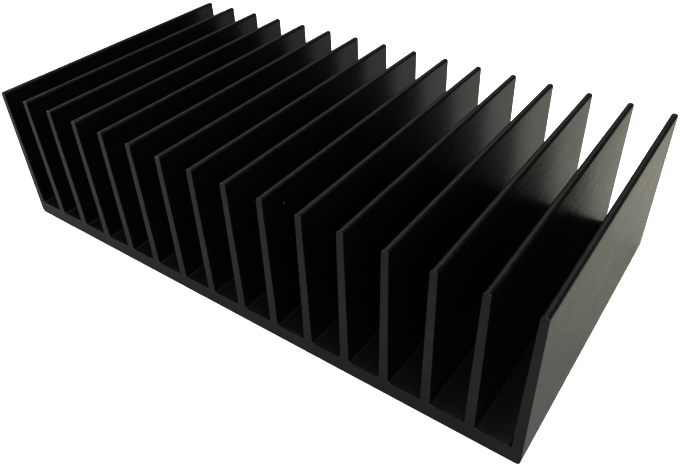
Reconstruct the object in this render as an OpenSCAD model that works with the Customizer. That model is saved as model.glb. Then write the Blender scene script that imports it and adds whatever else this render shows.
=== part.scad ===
// Extruded heat sink: a flat plate that carries a row of tall, thin, tapered fins. The whole is one
// bar of aluminium, pressed through a die and sawn to length.
// The section lies in X and Z, and the bar runs along Y. The origin is the middle of the underside,
// with +Z towards the tips of the fins.

/* [Base plate] */
// Thickness of the plate under the fins
base_t = 5; // [3:0.5:12]
// Radius along the two long edges of the underside
base_edge_r = 1.2; // [0.2:0.1:2.5]

/* [Fins] */
// Number of fins: the two outer ones stand flush with the sides of the plate
fin_count = 16; // [2:1:32]
// Distance from the middle of one fin to the middle of the next
fin_pitch = 12.6; // [9:0.1:25]
// Height of a fin above the plate
fin_h = 45; // [8:1:90]
// Thickness at the foot of a fin's flanks, where the fillets end
fin_root_t = 2.8; // [2:0.1:5]
// Thickness at the top of a fin's flanks, where the rounding of the tip starts
fin_tip_t = 2; // [1:0.1:3]
// Radius on both corners of a fin's tip
tip_r = 0.8; // [0.2:0.05:1]
// Radius in the corner between a fin and the plate
root_r = 0.8; // [0.2:0.1:1.6]

/* [Bar] */
// Length of the piece that is sawn off the bar
cut_length = 100; // [20:5:400]

/* [Hidden] */
$fn = 48;

// Overall width of the section
overall_w = (fin_count - 1) * fin_pitch + fin_root_t;

// A thin fin's tip radius is limited, so that a strip of flat stays between the two corners
tip_flat_share = 0.1;
tip_round = min(tip_r, fin_tip_t * (1 - tip_flat_share) / 2);

// How far a fin's outline reaches down into the plate, so that the two are one solid
root_sink = base_t / 2;

// Middle of the fin with a given number, counted from 0 at the -X side
function fin_x(number) = (number - (fin_count - 1) / 2) * fin_pitch;

// The plate, with its underside on the X axis and its two lower edges rounded
module plate_outline() {
    side_x = overall_w / 2;
    round_x = side_x - base_edge_r;
    polygon([
        [-round_x, 0], [round_x, 0],
        [side_x, base_edge_r], [side_x, base_t],
        [-side_x, base_t], [-side_x, base_edge_r]
    ]);
    for (side = [-1, 1])
        translate([side * round_x, base_edge_r]) circle(r = base_edge_r);
}

// One fin on a plate whose top is at height 0: an upright foot as high as the fillets beside it,
// flanks that lean inwards, and a tip with two round corners
module fin_outline() {
    foot_x = fin_root_t / 2;
    shoulder_x = fin_tip_t / 2;
    shoulder_y = fin_h - tip_round;
    corner_x = shoulder_x - tip_round;
    polygon([
        [-foot_x, -root_sink], [foot_x, -root_sink], [foot_x, root_r],
        [shoulder_x, shoulder_y], [corner_x, fin_h],
        [-corner_x, fin_h], [-shoulder_x, shoulder_y],
        [-foot_x, root_r]
    ]);
    for (side = [-1, 1])
        translate([side * corner_x, shoulder_y]) circle(r = tip_round);
}

// The hollow round corner on the +X side of a fin, between its foot and the top of the plate
module root_fillet_outline() {
    foot_x = fin_root_t / 2;
    difference() {
        translate([0, -root_sink]) square([foot_x + root_r, root_sink + root_r]);
        translate([foot_x + root_r, root_r]) circle(r = root_r);
    }
}

// What the die presses out: the plate, the fins, and a fillet on each side of every channel
module section() {
    plate_outline();
    translate([0, base_t]) {
        for (number = [0 : fin_count - 1])
            translate([fin_x(number), 0]) fin_outline();
        for (number = [0 : fin_count - 2]) {
            translate([fin_x(number), 0]) root_fillet_outline();
            translate([fin_x(number + 1), 0]) mirror([1, 0]) root_fillet_outline();
        }
    }
}

// The finished piece, black anodised
module heat_sink() {
    color([0.13, 0.13, 0.13])
        rotate([90, 0, 0])
            linear_extrude(height = cut_length, center = true) section();
}

heat_sink();
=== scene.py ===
import math
import bmesh
import bpy
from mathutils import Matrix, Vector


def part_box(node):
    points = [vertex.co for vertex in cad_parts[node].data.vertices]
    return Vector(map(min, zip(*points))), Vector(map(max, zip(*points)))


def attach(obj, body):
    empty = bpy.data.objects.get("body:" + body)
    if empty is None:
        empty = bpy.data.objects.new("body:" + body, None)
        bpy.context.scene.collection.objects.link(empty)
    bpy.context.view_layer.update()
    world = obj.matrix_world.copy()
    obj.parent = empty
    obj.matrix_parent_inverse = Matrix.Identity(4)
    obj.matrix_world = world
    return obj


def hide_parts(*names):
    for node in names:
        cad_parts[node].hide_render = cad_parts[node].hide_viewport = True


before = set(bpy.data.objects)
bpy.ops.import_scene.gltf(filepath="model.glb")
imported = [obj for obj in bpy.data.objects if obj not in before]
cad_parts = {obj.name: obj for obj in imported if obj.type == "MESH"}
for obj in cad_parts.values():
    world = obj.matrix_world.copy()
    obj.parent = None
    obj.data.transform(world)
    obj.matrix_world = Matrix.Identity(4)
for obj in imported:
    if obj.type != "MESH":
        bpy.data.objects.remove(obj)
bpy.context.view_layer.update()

mm = 0.001
white = (1, 1, 1, 1)
barLow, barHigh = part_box("heat_sink")
barWidth = barHigh.x - barLow.x
barLength = barHigh.y - barLow.y
facing = 0.9  # a face looks along an axis when this much of its normal lies on it


# picking by place, in edit mode

def startEdit(piece):
    bpy.ops.object.select_all(action="DESELECT")
    bpy.context.view_layer.objects.active = piece
    piece.select_set(True)
    bpy.ops.object.mode_set(mode="EDIT")


def pick(piece, kind, wanted):
    # kind is "FACE" or "EDGE"
    bpy.ops.mesh.select_mode(type=kind)
    bpy.ops.mesh.select_all(action="DESELECT")
    shape = bmesh.from_edit_mesh(piece.data)
    parts = shape.faces if kind == "FACE" else shape.edges
    for part in parts:
        if wanted(part):
            part.select_set(True)
    bmesh.update_edit_mesh(piece.data)


def near(a, b, reach=0.01 * mm):
    return abs(a - b) < reach


def runsAlongBar(edge):
    a, b = edge.verts[0].co, edge.verts[1].co
    return near(a.x, b.x) and near(a.z, b.z)


# the finned bar: a plate, scored and drawn up into fins, then rounded

barValues = {
    "plateThickness": 5.0 * mm,
    "plateEdgeRadius": 1.2 * mm,
    "finCount": 16,
    "finPitch": 12.6 * mm,
    "footWidth": 2.8 * mm,
    "tipWidth": 2.0 * mm,
    "tipRadius": 0.8 * mm,
    "rootRadius": 0.8 * mm,
    "roundSteps": 8,  # faces in each quarter round
    "sawnEdge": 0.12 * mm,  # how far the sawn edges are broken
    "sawnEdgeSteps": 3,
    "flatAngle": 0.2,  # degrees, faces that meet at less become one
    "smoothAngle": 30,  # degrees, sharper edges stay sharp
}


def makeFinnedBar(values):
    plateTop = barLow.z + values["plateThickness"]
    halfFoot = values["footWidth"] / 2
    firstFin = -(values["finCount"] - 1) / 2
    middles = [(firstFin + number) * values["finPitch"] for number in range(values["finCount"])]

    bpy.ops.object.select_all(action="DESELECT")
    bpy.ops.mesh.primitive_cube_add(size=1, location=(0, 0, plateTop / 2))
    bar = bpy.context.active_object
    bar.name = "finned_bar"
    bar.scale = (barWidth, barLength, values["plateThickness"])
    bpy.ops.object.transform_apply(location=True, rotation=True, scale=True)

    # score the plate on both sides of each fin's foot, but not on its own sides
    startEdit(bar)
    scores = [middle + side * halfFoot for middle in middles for side in (-1, 1)]
    for place in scores[1:-1]:
        bpy.ops.mesh.select_all(action="SELECT")
        bpy.ops.mesh.bisect(plane_co=(place, 0, 0), plane_no=(1, 0, 0))

    # draw the fins up from the scored strips, then pinch each tip
    def liesOver(face, places):
        across = face.calc_center_median().x
        return face.normal.z > facing and any(near(across, place) for place in places)

    pick(bar, "FACE", lambda face: liesOver(face, middles))
    bpy.ops.mesh.extrude_region_move(
        TRANSFORM_OT_translate={"value": (0, 0, barHigh.z - plateTop)}
    )
    taper = values["tipWidth"] / values["footWidth"]
    for middle in middles:
        pick(bar, "FACE", lambda face: liesOver(face, [middle]))
        bpy.ops.transform.resize(value=(taper, 1, 1), center_override=(middle, 0, barHigh.z))

    # the score lines left over on flat faces go
    bpy.ops.mesh.select_all(action="SELECT")
    bpy.ops.mesh.dissolve_limited(angle_limit=math.radians(values["flatAngle"]))

    # round the tips, the corners at the feet, and the two lower edges
    sideReach = 0.1 * mm

    def isTipEdge(edge):
        return runsAlongBar(edge) and near(edge.verts[0].co.z, barHigh.z)

    def isFootEdge(edge):
        place = edge.verts[0].co
        onSide = near(abs(place.x), barWidth / 2, sideReach)
        return runsAlongBar(edge) and near(place.z, plateTop) and not onSide

    def isLowerEdge(edge):
        return runsAlongBar(edge) and near(edge.verts[0].co.z, barLow.z)

    rounds = (
        (isTipEdge, values["tipRadius"]),
        (isFootEdge, values["rootRadius"]),
        (isLowerEdge, values["plateEdgeRadius"]),
    )
    for wanted, radius in rounds:
        pick(bar, "EDGE", wanted)
        bpy.ops.mesh.bevel(offset=radius, offset_type="OFFSET", segments=values["roundSteps"],
                           profile=0.5, clamp_overlap=False)

    # break the sharp edges that the saw leaves
    def isSawnEdge(edge):
        onEnd = [abs(face.normal.y) > facing for face in edge.link_faces]
        return len(onEnd) == 2 and onEnd[0] != onEnd[1]

    pick(bar, "EDGE", isSawnEdge)
    bpy.ops.mesh.bevel(offset=values["sawnEdge"], offset_type="OFFSET",
                       segments=values["sawnEdgeSteps"], profile=0.5, clamp_overlap=False)
    bpy.ops.object.mode_set(mode="OBJECT")

    bpy.ops.object.shade_smooth_by_angle(angle=math.radians(values["smoothAngle"]))
    flats = bar.modifiers.new("keepFlatsFlat", "WEIGHTED_NORMAL")
    flats.keep_sharp = True
    bpy.ops.object.modifier_apply(modifier=flats.name)
    return bar


bar = makeFinnedBar(barValues)
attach(bar, "root")
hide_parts("heat_sink")
print("finned bar:", len(bar.data.polygons), "faces")


# noise behind each effect: its detail and roughness, and the two of its values that become 0 and 1

noiseValues = {
    "dieLines": {"detail": 3.0, "roughness": 0.6, "low": 0.3, "high": 0.7},
    "dieBands": {"detail": 2.0, "roughness": 0.5, "low": 0.35, "high": 0.65},
    "sawMarks": {"detail": 2.0, "roughness": 0.6, "low": 0.3, "high": 0.7},
    "deepSawMarks": {"detail": 1.0, "roughness": 0.5, "low": 0.56, "high": 0.72},
    "clouds": {"detail": 4.0, "roughness": 0.55, "low": 0.33, "high": 0.67},
    "grain": {"detail": 2.0, "roughness": 0.6, "low": 0.3, "high": 0.7},
    "rubbedPatches": {"detail": 3.0, "roughness": 0.6, "low": 0.42, "high": 0.62},
    "floorPatches": {"detail": 3.0, "roughness": 0.6, "low": 0.3, "high": 0.7},
}


# wiring helpers for shader nodes

class NodeSheet:
    # one node tree, with short calls to lay nodes and wires
    def __init__(self, tree):
        self.tree = tree

    def add(self, kind, **settings):
        node = self.tree.nodes.new(kind)
        for name, value in settings.items():
            setattr(node, name, value)
        return node

    def wire(self, source, target):
        if hasattr(source, "is_output"):
            self.tree.links.new(source, target)
        else:
            target.default_value = source

    def math(self, operation, first, second=0.0, third=0.0, clamp=False):
        node = self.add("ShaderNodeMath", operation=operation, use_clamp=clamp)
        for socket, value in zip(node.inputs, (first, second, third)):
            self.wire(value, socket)
        return node.outputs["Value"]

    def average(self, first, second):
        return self.math("MULTIPLY_ADD", first, 0.5, self.math("MULTIPLY", second, 0.5))

    def swing(self, value, amount):
        # turns 0..1 into a change to both sides of nothing, amount wide
        return self.math("MULTIPLY", self.math("SUBTRACT", value, 0.5), amount)

    def distance(self, first, second):
        # from the origin, in a plane
        squares = self.math("ADD", self.math("MULTIPLY", first, first),
                            self.math("MULTIPLY", second, second))
        return self.math("SQRT", squares)

    def spread(self, value, fromLow, fromHigh, toLow, toHigh):
        # clamped change of range
        node = self.add("ShaderNodeMapRange", clamp=True)
        names = ("Value", "From Min", "From Max", "To Min", "To Max")
        for name, part in zip(names, (value, fromLow, fromHigh, toLow, toHigh)):
            self.wire(part, node.inputs[name])
        return node.outputs["Result"]

    def stretch(self, vector, scale):
        node = self.add("ShaderNodeVectorMath", operation="MULTIPLY")
        self.wire(vector, node.inputs[0])
        self.wire(scale, node.inputs[1])
        return node.outputs["Vector"]

    def join(self, x, y, z):
        node = self.add("ShaderNodeCombineXYZ")
        for socket, value in zip(node.inputs, (x, y, z)):
            self.wire(value, socket)
        return node.outputs["Vector"]

    def split(self, vector, parts="XYZ"):
        node = self.add("ShaderNodeSeparateXYZ")
        self.wire(vector, node.inputs["Vector"])
        return [node.outputs[part] for part in parts]

    def noise(self, vector, scale, values, least=0.0):
        # spread out, so that it runs from least to 1
        node = self.add("ShaderNodeTexNoise")
        self.wire(vector, node.inputs["Vector"])
        self.wire(scale, node.inputs["Scale"])
        self.wire(values["detail"], node.inputs["Detail"])
        self.wire(values["roughness"], node.inputs["Roughness"])
        return self.spread(node.outputs["Fac"], values["low"], values["high"], least, 1.0)

    def blendColour(self, amount, first, second):
        node = self.add("ShaderNodeMix", data_type="RGBA")
        self.wire(amount, node.inputs["Factor"])
        self.wire(first, node.inputs["A"])
        self.wire(second, node.inputs["B"])
        return node.outputs["Result"]

    def place(self, group, settings):
        # puts a shared group here; what settings leaves out stays as the group has it
        node = self.add("ShaderNodeGroup", node_tree=group)
        for name, value in settings.items():
            self.wire(value, node.inputs[name])
        return node.outputs


def newGroup(name, gives, takes):
    # every group reads a place first; the rest of what it takes are plain values
    group = bpy.data.node_groups.new(name, "ShaderNodeTree")
    group.interface.new_socket("Place", in_out="INPUT", socket_type="NodeSocketVector")
    for label, start in takes.items():
        socket = group.interface.new_socket(label, in_out="INPUT", socket_type="NodeSocketFloat")
        socket.default_value = start
    for label in gives:
        group.interface.new_socket(label, in_out="OUTPUT", socket_type="NodeSocketFloat")
    sheet = NodeSheet(group)
    return sheet, sheet.add("NodeGroupInput").outputs, sheet.add("NodeGroupOutput").inputs


# shared effects

def makeDieLines():
    # streaks that the die leaves along the bar: fine lines and broad faint bands
    sheet, given, result = newGroup("dieLines", ("Lines", "Bands"), {
        "Lines per Metre": 2200.0,
        "Bands per Metre": 260.0,
        "Drift": 9.0,  # changes per metre along a line
    })
    fineScale = sheet.join(given["Lines per Metre"], given["Drift"], given["Lines per Metre"])
    lines = sheet.noise(sheet.stretch(given["Place"], fineScale), 1.0, noiseValues["dieLines"])
    bandScale = sheet.join(given["Bands per Metre"], given["Drift"], given["Bands per Metre"])
    bands = sheet.noise(sheet.stretch(given["Place"], bandScale), 1.0, noiseValues["dieBands"])
    sheet.wire(lines, result["Lines"])
    sheet.wire(bands, result["Bands"])
    return sheet.tree


def makeSawMarks():
    # shallow arcs across a sawn end, all round the hub of a large blade, some cut deeper
    sheet, given, result = newGroup("sawMarks", ("Marks", "Deep Marks"), {
        "Hub Across": 0.06,
        "Hub Below": 0.17,
        "Marks per Metre": 900.0,
        "Deep Marks per Mark": 0.17,
        "Changes per Radian": 14.0,
        "Deep Slice": 4.0,  # keeps the deep marks apart from the fine ones
    })
    x, y, z = sheet.split(given["Place"])
    across = sheet.math("SUBTRACT", x, given["Hub Across"])
    above = sheet.math("ADD", z, given["Hub Below"])
    ring = sheet.math("MULTIPLY", sheet.distance(across, above), given["Marks per Metre"])
    # the same ring all the way round, with a slow change along it
    along = sheet.math("MULTIPLY", sheet.math("ARCTAN2", across, above), given["Changes per Radian"])
    marks = sheet.noise(sheet.join(ring, along, y), 1.0, noiseValues["sawMarks"])
    deepRing = sheet.math("MULTIPLY", ring, given["Deep Marks per Mark"])
    deepPlace = sheet.join(deepRing, along, given["Deep Slice"])
    deepMarks = sheet.noise(deepPlace, 1.0, noiseValues["deepSawMarks"])
    sheet.wire(marks, result["Marks"])
    sheet.wire(deepMarks, result["Deep Marks"])
    return sheet.tree


def makeDyeClouds():
    # the dye takes a little unevenly, and handling leaves faint smudges
    sheet, given, result = newGroup("dyeClouds", ("Clouds", "Grain"), {
        "Clouds per Metre": 70.0,
        "Grain per Metre": 1500.0,
    })
    clouds = sheet.noise(given["Place"], given["Clouds per Metre"], noiseValues["clouds"])
    grain = sheet.noise(given["Place"], given["Grain per Metre"], noiseValues["grain"])
    sheet.wire(clouds, result["Clouds"])
    sheet.wire(grain, result["Grain"])
    return sheet.tree


def makeRubbedEdges():
    # where hands and boxes rub: beside the sawn ends and along the tips of the fins
    sheet, given, result = newGroup("rubbedEdges", ("Rubbed",), {
        "Half Length": barLength / 2,
        "Height": barHigh.z,
        "Rubbed Width": 0.5 * mm,
        "Tip Share": 0.3,  # the tips are rubbed less than the ends
        "Patches per Metre": 420.0,
    })
    y, z = sheet.split(given["Place"], "YZ")
    fromEnd = sheet.math("SUBTRACT", given["Half Length"], sheet.math("ABSOLUTE", y))
    fromTip = sheet.math("SUBTRACT", given["Height"], z)
    ends = sheet.spread(fromEnd, 0.0, given["Rubbed Width"], 1.0, 0.0)
    tips = sheet.spread(fromTip, 0.0, given["Rubbed Width"], given["Tip Share"], 0.0)
    patchy = sheet.noise(given["Place"], given["Patches per Metre"], noiseValues["rubbedPatches"])
    rubbed = sheet.math("MULTIPLY", sheet.math("MAXIMUM", ends, tips), patchy)
    sheet.wire(rubbed, result["Rubbed"])
    return sheet.tree


def makeDustSpecks():
    # a few pale specks, each on its own
    sheet, given, result = newGroup("dustSpecks", ("Specks",), {
        "Cells per Metre": 170.0,
        "Share": 0.2,  # how many of the cells hold a speck
        "Speck Size": 0.035,  # against a cell
        "Smallest": 0.4,  # against Speck Size, and the largest is 1 more than that
    })
    cells = sheet.add("ShaderNodeTexVoronoi", feature="F1", voronoi_dimensions="3D")
    sheet.wire(given["Place"], cells.inputs["Vector"])
    sheet.wire(given["Cells per Metre"], cells.inputs["Scale"])
    lot, sizeLot = sheet.split(cells.outputs["Color"], "XY")
    chosen = sheet.math("LESS_THAN", lot, given["Share"])
    size = sheet.math("MULTIPLY", given["Speck Size"], sheet.math("ADD", sizeLot, given["Smallest"]))
    speck = sheet.math("LESS_THAN", cells.outputs["Distance"], size)
    sheet.wire(sheet.math("MULTIPLY", speck, chosen), result["Specks"])
    return sheet.tree


def makeChannelFloorTone():
    # a paler tone on the floors of the channels, fading out up their rounded corners
    sheet, given, result = newGroup("channelFloorTone", ("Floor Share",), {
        "Floor Height": barValues["plateThickness"],
        "Fade Height": 0.4 * mm,
        "Reach Across": barWidth / 2 - 1 * mm,  # stops short of the bar's own sides
        "Patches per Metre": 300.0,
        "Thinnest": 0.7,
    })
    x, z = sheet.split(given["Place"], "XZ")
    above = sheet.math("ABSOLUTE", sheet.math("SUBTRACT", z, given["Floor Height"]))
    low = sheet.spread(above, 0.0, given["Fade Height"], 1.0, 0.0)
    inside = sheet.math("LESS_THAN", sheet.math("ABSOLUTE", x), given["Reach Across"])
    patchy = sheet.noise(given["Place"], given["Patches per Metre"], noiseValues["floorPatches"],
                         given["Thinnest"])
    sheet.wire(sheet.math("MULTIPLY", sheet.math("MULTIPLY", low, inside), patchy), result["Floor Share"])
    return sheet.tree


dieLines = makeDieLines()
sawMarks = makeSawMarks()
dyeClouds = makeDyeClouds()
rubbedEdges = makeRubbedEdges()
dustSpecks = makeDustSpecks()
channelFloorTone = makeChannelFloorTone()
print("shared effects ready")


# black anodised finish: satin on the pressed faces, duller on the sawn ends

pressedValues = {
    "darkDye": (0.0018, 0.0020, 0.0020, 1),
    "paleDye": (0.0040, 0.0042, 0.0040, 1),
    "rubbedDye": (0.016, 0.016, 0.0155, 1),
    "dust": (0.16, 0.155, 0.15, 1),
    "channelFloorColour": (0.010, 0.011, 0.0105, 1),
    "specksPerMetre": 150.0,
    "speckShare": 0.16,
    "roughness": 0.28,
    "lineRoughness": 0.02,
    "cloudRoughness": 0.03,
    "rubbedRoughness": 0.15,
    "dustRoughness": 0.6,
    "lineDepth": 0.0009 * mm,
    "grainDepth": 0.0003 * mm,
    "filmIor": 1.5,
}

sawnValues = {
    "darkDye": (0.0014, 0.0015, 0.0017, 1),
    "paleDye": (0.0036, 0.0037, 0.0041, 1),
    "rubbedDye": (0.014, 0.014, 0.0145, 1),
    "dust": (0.16, 0.155, 0.15, 1),
    "cloudsPerMetre": 160.0,
    "specksPerMetre": 190.0,
    "speckShare": 0.25,
    "deepMarkShare": 0.35,  # how far the deep marks show as rubbed
    "roughness": 0.34,
    "markRoughness": 0.06,
    "cloudRoughness": 0.06,
    "dustRoughness": 0.6,
    "markDepth": 0.006 * mm,
    "deepMarkDepth": 0.010 * mm,
    "filmIor": 1.47,
}


def startMaterial(name, values):
    material = bpy.data.materials.new(name)
    material.use_nodes = True
    sheet = NodeSheet(material.node_tree)
    shader = material.node_tree.nodes["Principled BSDF"]
    shader.inputs["IOR"].default_value = values["filmIor"]
    place = sheet.add("ShaderNodeTexCoord").outputs["Object"]
    return material, sheet, shader, place


def placeSpecks(sheet, place, values):
    settings = {
        "Place": place,
        "Cells per Metre": values["specksPerMetre"],
        "Share": values["speckShare"],
    }
    return sheet.place(dustSpecks, settings)["Specks"]


def bump(sheet, height, depth, normal=None):
    node = sheet.add("ShaderNodeBump")
    node.inputs["Strength"].default_value = 1.0
    node.inputs["Distance"].default_value = depth
    sheet.wire(height, node.inputs["Height"])
    if normal is not None:
        sheet.wire(normal, node.inputs["Normal"])
    return node.outputs["Normal"]


def makePressedFinish(values):
    material, sheet, shader, place = startMaterial("anodisedPressed", values)
    lines = sheet.place(dieLines, {"Place": place})
    dye = sheet.place(dyeClouds, {"Place": place})
    rubbed = sheet.place(rubbedEdges, {"Place": place})["Rubbed"]
    specks = placeSpecks(sheet, place, values)
    floorShare = sheet.place(channelFloorTone, {"Place": place})["Floor Share"]

    tone = sheet.average(lines["Bands"], dye["Clouds"])
    colour = sheet.blendColour(tone, values["darkDye"], values["paleDye"])
    colour = sheet.blendColour(rubbed, colour, values["rubbedDye"])
    # a paler tone on the floors of the channels
    colour = sheet.blendColour(floorShare, colour, values["channelFloorColour"])
    colour = sheet.blendColour(specks, colour, values["dust"])
    sheet.wire(colour, shader.inputs["Base Color"])

    # roughness swings a little to both sides of its middle value
    lineSwing = sheet.swing(lines["Bands"], values["lineRoughness"])
    cloudSwing = sheet.swing(dye["Clouds"], values["cloudRoughness"])
    swing = sheet.math("ADD", lineSwing, cloudSwing)
    roughness = sheet.math("ADD", swing, values["roughness"])
    roughness = sheet.math("MULTIPLY_ADD", rubbed, values["rubbedRoughness"], roughness)
    roughness = sheet.math("MULTIPLY_ADD", specks, values["dustRoughness"], roughness, clamp=True)
    sheet.wire(roughness, shader.inputs["Roughness"])

    surface = bump(sheet, lines["Lines"], values["lineDepth"])
    surface = bump(sheet, dye["Grain"], values["grainDepth"], surface)
    sheet.wire(surface, shader.inputs["Normal"])
    return material


def makeSawnFinish(values):
    material, sheet, shader, place = startMaterial("anodisedSawn", values)
    saw = sheet.place(sawMarks, {"Place": place})
    dye = sheet.place(dyeClouds, {"Place": place, "Clouds per Metre": values["cloudsPerMetre"]})
    specks = placeSpecks(sheet, place, values)

    tone = sheet.average(saw["Marks"], dye["Clouds"])
    colour = sheet.blendColour(tone, values["darkDye"], values["paleDye"])
    deep = sheet.math("MULTIPLY", saw["Deep Marks"], values["deepMarkShare"])
    colour = sheet.blendColour(deep, colour, values["rubbedDye"])
    colour = sheet.blendColour(specks, colour, values["dust"])
    sheet.wire(colour, shader.inputs["Base Color"])

    markSwing = sheet.swing(saw["Marks"], values["markRoughness"])
    cloudSwing = sheet.swing(dye["Clouds"], values["cloudRoughness"])
    swing = sheet.math("ADD", markSwing, cloudSwing)
    roughness = sheet.math("ADD", swing, values["roughness"])
    roughness = sheet.math("MULTIPLY_ADD", specks, values["dustRoughness"], roughness, clamp=True)
    sheet.wire(roughness, shader.inputs["Roughness"])

    surface = bump(sheet, saw["Marks"], values["markDepth"])
    surface = bump(sheet, saw["Deep Marks"], values["deepMarkDepth"], surface)
    sheet.wire(surface, shader.inputs["Normal"])
    return material


bar.data.materials.clear()
bar.data.materials.append(makePressedFinish(pressedValues))
bar.data.materials.append(makeSawnFinish(sawnValues))
for face in bar.data.polygons:
    face.material_index = 1 if abs(face.normal.y) > facing else 0
print("finish laid on")


# floor, room and lamps

floorValues = {
    "across": 12.0,
    "roughness": 0.9,
    "seen": (0.95, 0.95, 0.95, 1),
    # tones of the paper where the satin black mirrors it, by place: painted shade close to the front end
    # of the bar, painted light behind it, and warmer painted light behind it to the right
    "frontMirrored": (0.35, 0.35, 0.351, 1),
    "paintedShadeMirrored": (0.285, 0.285, 0.285, 1),  # painted shade, close to the front end of the bar
    # painted light on the paper behind the bar
    "paintedLightBehind": (0.37, 0.369, 0.363, 1),
    "paintedWarmLight": (0.40, 0.394, 0.345, 1),  # painted warm light, behind, to the right
    "paintedShadeTurn": (-0.075, -0.055),  # along Y, where one tone gives way to the next
    "backTurn": (-0.055, 0.025),
    "warmTurn": (0.05, 0.11),  # the same along X
    # to the camera, the floor shines a little by itself, and more where the lamps don't reach
    "nearLift": 0.15,
    "farLift": 0.95,
    "liftTurn": (0.3, 0.9),  # distances from the bar between which the one becomes the other
}

roomValues = {
    "glow": 0.09,
    "wallGlow": 0.64,  # a pale wall behind, to the left, mirrored in the tips of the fins
    "wallBearing": 135,  # degrees from +X towards +Y
    # the wall fades in or out between each two numbers
    "wallFacing": (0.57, 0.82),  # cosine of the turn away from its bearing
    "wallFoot": (0.38, 0.5),  # sine of the height
    "wallTop": (0.82, 0.92),
}

# bearing is turned from +X towards +Y, both angles in degrees; the rest in metres
lampValues = (
    {"name": "leftBox", "bearing": 186, "height": 34, "away": 0.85, "size": (0.4, 0.54), "glow": 9.2,
     "tint": (1.0, 1.0, 1.0)},
    {"name": "rightBox", "bearing": -18, "height": 34, "away": 1.5, "size": (1.3, 0.95), "glow": 6.0,
     "tint": (1.0, 0.99, 0.93)},
    {"name": "frontBox", "bearing": 300, "height": 34, "away": 1.5, "size": (0.7, 0.95), "glow": 6.0,
     "tint": (0.94, 0.97, 1.0)},
    {"name": "topBox", "bearing": 0, "height": 90, "away": 1.5, "size": (0.9, 0.9), "glow": 3.0,
     "tint": (1.0, 1.0, 1.0)},
)


def makeFloor(values):
    bpy.ops.object.select_all(action="DESELECT")
    bpy.ops.mesh.primitive_plane_add(size=values["across"], location=(0, 0, barLow.z))
    floor = bpy.context.active_object
    floor.name = "floor"
    paper = bpy.data.materials.new("palePaper")
    paper.use_nodes = True
    sheet = NodeSheet(paper.node_tree)
    shader = paper.node_tree.nodes["Principled BSDF"]
    shader.inputs["Roughness"].default_value = values["roughness"]
    shader.inputs["Specular IOR Level"].default_value = 0.0
    shader.inputs["Emission Color"].default_value = white

    seen = sheet.add("ShaderNodeLightPath").outputs["Is Camera Ray"]
    x, y = sheet.split(sheet.add("ShaderNodeTexCoord").outputs["Object"], "XY")
    # painted shade on the mirrored paper close to the front end of the bar, and painted light on it
    # behind the bar, warmer to the right
    close = sheet.spread(y, *values["paintedShadeTurn"], 0.0, 1.0)
    backward = sheet.spread(y, *values["backTurn"], 0.0, 1.0)
    rightward = sheet.spread(x, *values["warmTurn"], 0.0, 1.0)
    inFront = sheet.blendColour(close, values["frontMirrored"], values["paintedShadeMirrored"])
    behind = sheet.blendColour(rightward, values["paintedLightBehind"], values["paintedWarmLight"])
    mirrored = sheet.blendColour(backward, inFront, behind)
    colour = sheet.blendColour(seen, mirrored, values["seen"])
    sheet.wire(colour, shader.inputs["Base Color"])

    lift = sheet.spread(sheet.distance(x, y), *values["liftTurn"], values["nearLift"], values["farLift"])
    sheet.wire(sheet.math("MULTIPLY", seen, lift), shader.inputs["Emission Strength"])
    floor.data.materials.append(paper)


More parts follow.
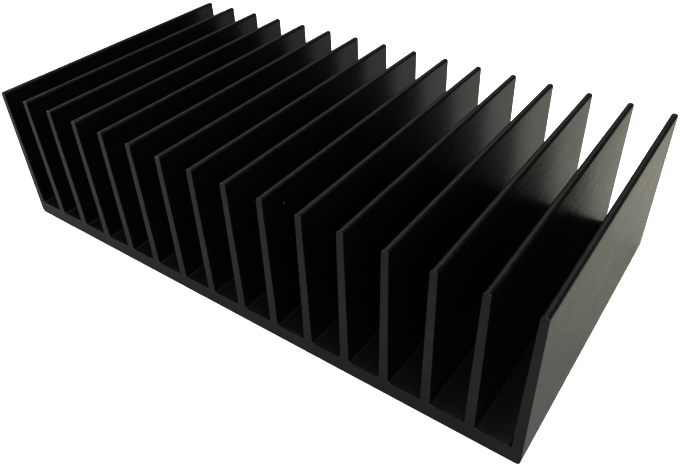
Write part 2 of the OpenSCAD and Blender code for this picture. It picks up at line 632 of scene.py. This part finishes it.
def makeRoom(values):
    world = bpy.data.worlds.new("softRoom")
    bpy.context.scene.world = world
    world.use_nodes = True
    sheet = NodeSheet(world.node_tree)
    back = world.node_tree.nodes["Background"]
    back.inputs["Color"].default_value = white

    x, y, z = sheet.split(sheet.add("ShaderNodeTexCoord").outputs["Generated"])
    bearing = math.radians(values["wallBearing"])
    level = sheet.math("SQRT", sheet.math("SUBTRACT", 1.0, sheet.math("MULTIPLY", z, z)))
    sideways = sheet.math("MULTIPLY", y, math.sin(bearing))
    towards = sheet.math("MULTIPLY_ADD", x, math.cos(bearing), sideways)
    facingWall = sheet.spread(sheet.math("DIVIDE", towards, level), *values["wallFacing"], 0.0, 1.0)
    aboveFoot = sheet.spread(z, *values["wallFoot"], 0.0, 1.0)
    belowTop = sheet.spread(z, *values["wallTop"], 1.0, 0.0)
    wall = sheet.math("MULTIPLY", facingWall, sheet.math("MULTIPLY", aboveFoot, belowTop))
    glow = sheet.math("MULTIPLY_ADD", wall, values["wallGlow"] - values["glow"], values["glow"])
    seen = sheet.add("ShaderNodeLightPath").outputs["Is Camera Ray"]
    sheet.wire(sheet.math("MAXIMUM", glow, seen), back.inputs["Strength"])  # plain white when seen


def makeLamps(lamps):
    for lamp in lamps:
        bearing = math.radians(lamp["bearing"])
        height = math.radians(lamp["height"])
        towards = (
            math.cos(bearing) * math.cos(height),
            math.sin(bearing) * math.cos(height),
            math.sin(height),
        )
        bpy.ops.object.light_add(type="AREA", location=[lamp["away"] * part for part in towards])
        made = bpy.context.active_object
        made.name = lamp["name"]
        made.rotation_euler = (math.pi / 2 - height, 0, bearing + math.pi / 2)  # looks at the bar
        made.data.shape = "RECTANGLE"
        made.data.size, made.data.size_y = lamp["size"]
        made.data.color = lamp["tint"]
        made.data.energy = lamp["glow"] * math.pi * lamp["size"][0] * lamp["size"][1]


cameraValues = {
    "place": (118.06 * mm, -149.17 * mm, 147.78 * mm),
    "turn": (52.97, 2.107, 35.70),  # degrees
    "lens": 35.456,
    "sensorWidth": 36,
    "shift": (0.0102, -0.0241),
    "nearClip": 0.005,
    "farClip": 50,
}


def makeCamera(values):
    bpy.ops.object.camera_add(location=values["place"])
    camera = bpy.context.active_object
    camera.rotation_euler = [math.radians(angle) for angle in values["turn"]]
    camera.data.sensor_width = values["sensorWidth"]
    camera.data.lens = values["lens"]
    camera.data.shift_x, camera.data.shift_y = values["shift"]
    camera.data.clip_start = values["nearClip"]
    camera.data.clip_end = values["farClip"]
    bpy.context.scene.camera = camera


makeFloor(floorValues)
makeRoom(roomValues)
makeLamps(lampValues)
makeCamera(cameraValues)
bpy.context.scene.view_settings.view_transform = "Standard"
bpy.context.scene.view_settings.look = "High Contrast"  # deep shade goes to black
print("floor, lamps and camera ready")
